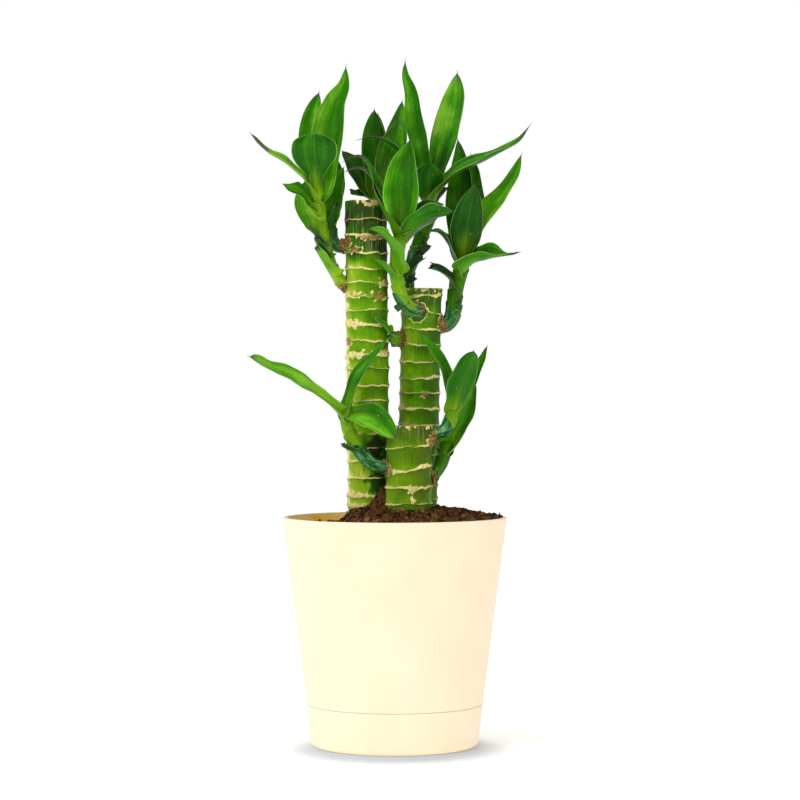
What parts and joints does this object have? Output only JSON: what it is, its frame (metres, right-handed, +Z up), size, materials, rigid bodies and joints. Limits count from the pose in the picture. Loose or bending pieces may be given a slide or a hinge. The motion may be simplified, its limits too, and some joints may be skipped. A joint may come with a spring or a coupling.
{
  "type": "potted lucky bamboo",
  "caption": "Lucky bamboo: cut green canes of different heights with leafy side shoots, standing in soil in a plain tapered pot on a matching saucer.",
  "frame": {"origin": "middle of the flat underside of the saucer, on the pot's axis", "axes": "+Z up along the pot's axis, -Y towards the side that the picture shows, +X to the right as seen in the picture"},
  "size_m": [0.1636, 0.13, 0.4015],
  "materials": {
    "cream_plastic": "moulded, semi-gloss cream",
    "potting_soil": "loose crumbs of coconut fibre, matt dark brown",
    "cane_skin": "living cane, satin green with pale leaf scars",
    "bright_leaf": "living leaf, satin bright green",
    "dark_leaf": "living leaf, satin dark green"
  },
  "bodies": {
    "root": {"saucer": "cream_plastic", "pot": "cream_plastic", "soil": "potting_soil", "cane_tall": "cane_skin", "cane_middle": "cane_skin", "cane_short": "cane_skin", "shoot_tall_left": "bright_leaf", "shoot_tall_side": "dark_leaf", "shoot_tall_back": "dark_leaf", "shoot_middle_front": "bright_leaf", "shoot_middle_back": "dark_leaf", "shoot_middle_right": "bright_leaf", "shoot_middle_left": "bright_leaf", "shoot_short_left": "bright_leaf", "shoot_short_right": "bright_leaf", "shoot_short_low": "dark_leaf"}
  },
  "joints": []
}
